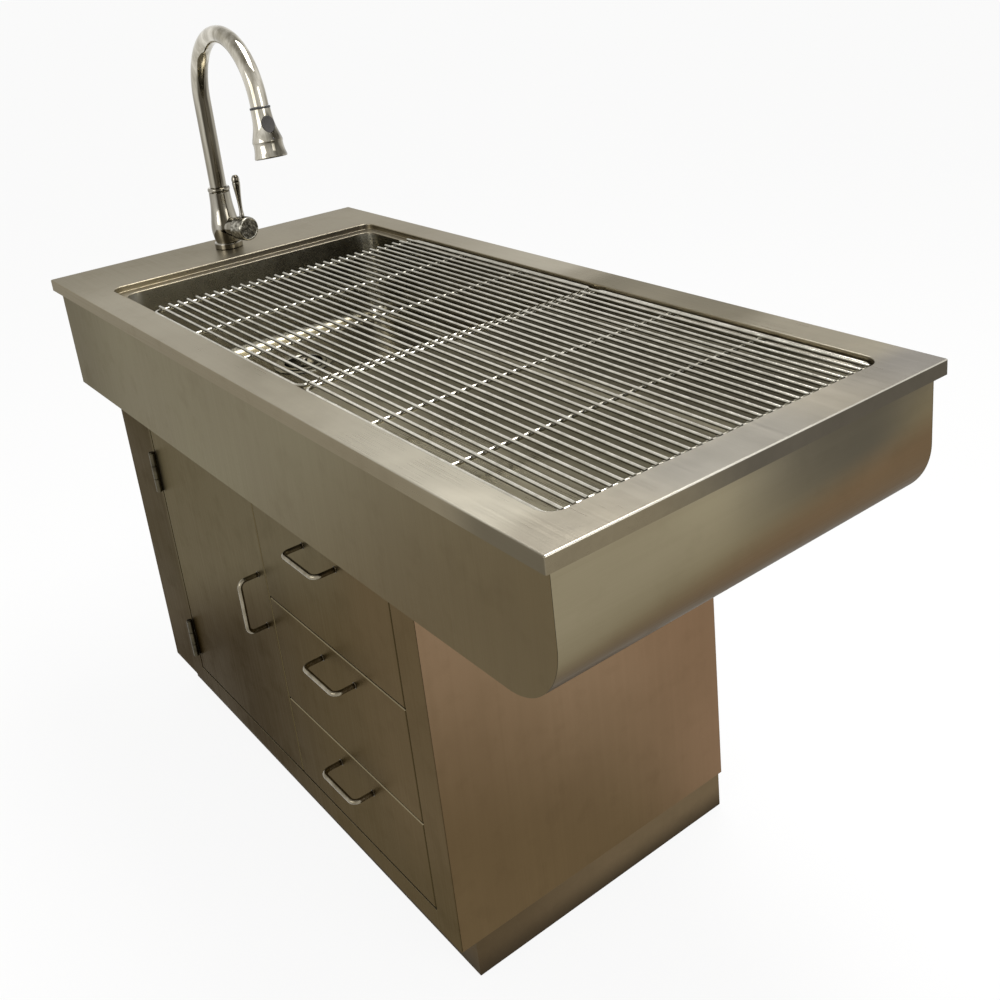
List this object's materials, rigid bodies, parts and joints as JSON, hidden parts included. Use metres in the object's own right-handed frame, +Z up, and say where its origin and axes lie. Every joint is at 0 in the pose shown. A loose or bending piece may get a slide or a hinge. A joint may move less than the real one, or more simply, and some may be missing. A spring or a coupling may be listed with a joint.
{
  "type": "veterinary surgery table",
  "caption": "Stainless steel wash and surgery table with lift-out wire grates over a sink and tray, a cabinet with door and drawers, and a pull-out spray tap.",
  "frame": {"origin": "on the floor, under the centre of the deck", "axes": "+Z up, +X along the deck from the tap to the free end, -Y out of the door and drawers"},
  "size_m": [1.5, 0.65, 1.3307],
  "materials": {
    "deck_steel": "brushed",
    "sink_steel": "satin",
    "cabinet_steel": "brushed",
    "bright_wire": "polished",
    "zinc_steel": "matte",
    "tap_chrome": "polished",
    "grey_plastic": "matte",
    "catch_plastic": "matte"
  },
  "bodies": {
    "table": {"deck_rim": "deck_steel", "apron_front": "deck_steel", "apron_back": "deck_steel", "trough_belly": "deck_steel", "trough_end_left": "deck_steel", "sloped_tray": "deck_steel", "sink_bowl": "sink_steel", "cabinet_side_left": "cabinet_steel", "cabinet_side_right": "cabinet_steel", "cabinet_back": "cabinet_steel", "cabinet_floor": "cabinet_steel", "partition_left": "cabinet_steel", "partition_right": "cabinet_steel", "face_frame": "cabinet_steel", "plinth": "cabinet_steel", "drain_cup": "bright_wire", "drain_locknut": "zinc_steel", "hinge_lower_frame_leaf": "zinc_steel", "hinge_lower_pin": "zinc_steel", "hinge_upper_frame_leaf": "zinc_steel", "hinge_upper_pin": "zinc_steel", "drawer_lower_runner_left": "zinc_steel", "drawer_lower_runner_right": "zinc_steel", "drawer_middle_runner_left": "zinc_steel", "drawer_middle_runner_right": "zinc_steel", "drawer_upper_runner_left": "zinc_steel", "drawer_upper_runner_right": "zinc_steel", "tap_nut": "zinc_steel", "drain_tailpiece": "tap_chrome", "tap_body": "tap_chrome", "door_magnet": "catch_plastic"},
    "door": {"door_panel": "cabinet_steel", "door_handle": "bright_wire", "hinge_lower_door_leaf": "zinc_steel", "hinge_upper_door_leaf": "zinc_steel", "door_strike": "zinc_steel"},
    "drawer_lower": {"drawer_lower_front": "cabinet_steel", "drawer_lower_handle": "bright_wire", "drawer_lower_box": "zinc_steel"},
    "drawer_middle": {"drawer_middle_front": "cabinet_steel", "drawer_middle_handle": "bright_wire", "drawer_middle_box": "zinc_steel"},
    "drawer_upper": {"drawer_upper_front": "cabinet_steel", "drawer_upper_handle": "bright_wire", "drawer_upper_box": "zinc_steel"},
    "left_grate": {"grate_left": "bright_wire"},
    "right_grate": {"grate_right": "bright_wire"},
    "strainer": {"strainer_basket": "bright_wire"},
    "spout": {"tap_spout": "tap_chrome", "tap_collar": "tap_chrome"},
    "spray": {"spray_head": "tap_chrome", "spray_face": "grey_plastic", "spray_dock": "grey_plastic"},
    "button": {"spray_button": "grey_plastic"},
    "hub": {"mixer_hub": "tap_chrome"},
    "lever": {"mixer_lever": "tap_chrome"}
  },
  "joints": [
    {"name": "door_hinge", "type": "hinge", "parent": "table", "child": "door", "pos_m": [-0.52955, -0.2771, 0.384], "axis": [0, 0, -1], "range_deg": [0, 110]},
    {"name": "drawer_lower_slide", "type": "slide", "parent": "table", "child": "drawer_lower", "axis": [0, -1, 0], "range_m": [0, 0.38]},
    {"name": "drawer_middle_slide", "type": "slide", "parent": "table", "child": "drawer_middle", "axis": [0, -1, 0], "range_m": [0, 0.38]},
    {"name": "drawer_upper_slide", "type": "slide", "parent": "table", "child": "drawer_upper", "axis": [0, -1, 0], "range_m": [0, 0.38]},
    {"name": "left_grate_lift", "type": "slide", "parent": "table", "child": "left_grate", "axis": [0, 0, 1], "range_m": [0, 0.06]},
    {"name": "right_grate_lift", "type": "slide", "parent": "table", "child": "right_grate", "axis": [0, 0, 1], "range_m": [0, 0.06]},
    {"name": "strainer_lift", "type": "slide", "parent": "table", "child": "strainer", "axis": [0, 0, 1], "range_m": [0, 0.12]},
    {"name": "spout_swivel", "type": "hinge", "parent": "table", "child": "spout", "pos_m": [-0.665, 0.003, 1.02], "axis": [0, 0, 1], "range_deg": [-60, 60]},
    {"name": "spray_pull", "type": "slide", "parent": "spout", "child": "spray", "axis": [0.1392, 0, -0.9903], "range_m": [0, 0.13]},
    {"name": "spray_button_press", "type": "slide", "parent": "spray", "child": "button", "axis": [-0.9903, 0, -0.1392], "range_m": [0, 0.002], "stiffness_N_per_m": 300},
    {"name": "mixer_turn", "type": "hinge", "parent": "table", "child": "hub", "pos_m": [-0.665, 0.003, 0.942], "axis": [0.9659, 0.2588, 0], "range_deg": [-30, 30]},
    {"name": "lever_tilt", "type": "hinge", "parent": "hub", "child": "lever", "pos_m": [-0.61062, 0.01757, 0.942], "axis": [-0.2588, 0.9659, 0], "range_deg": [0, 18]}
  ]
}
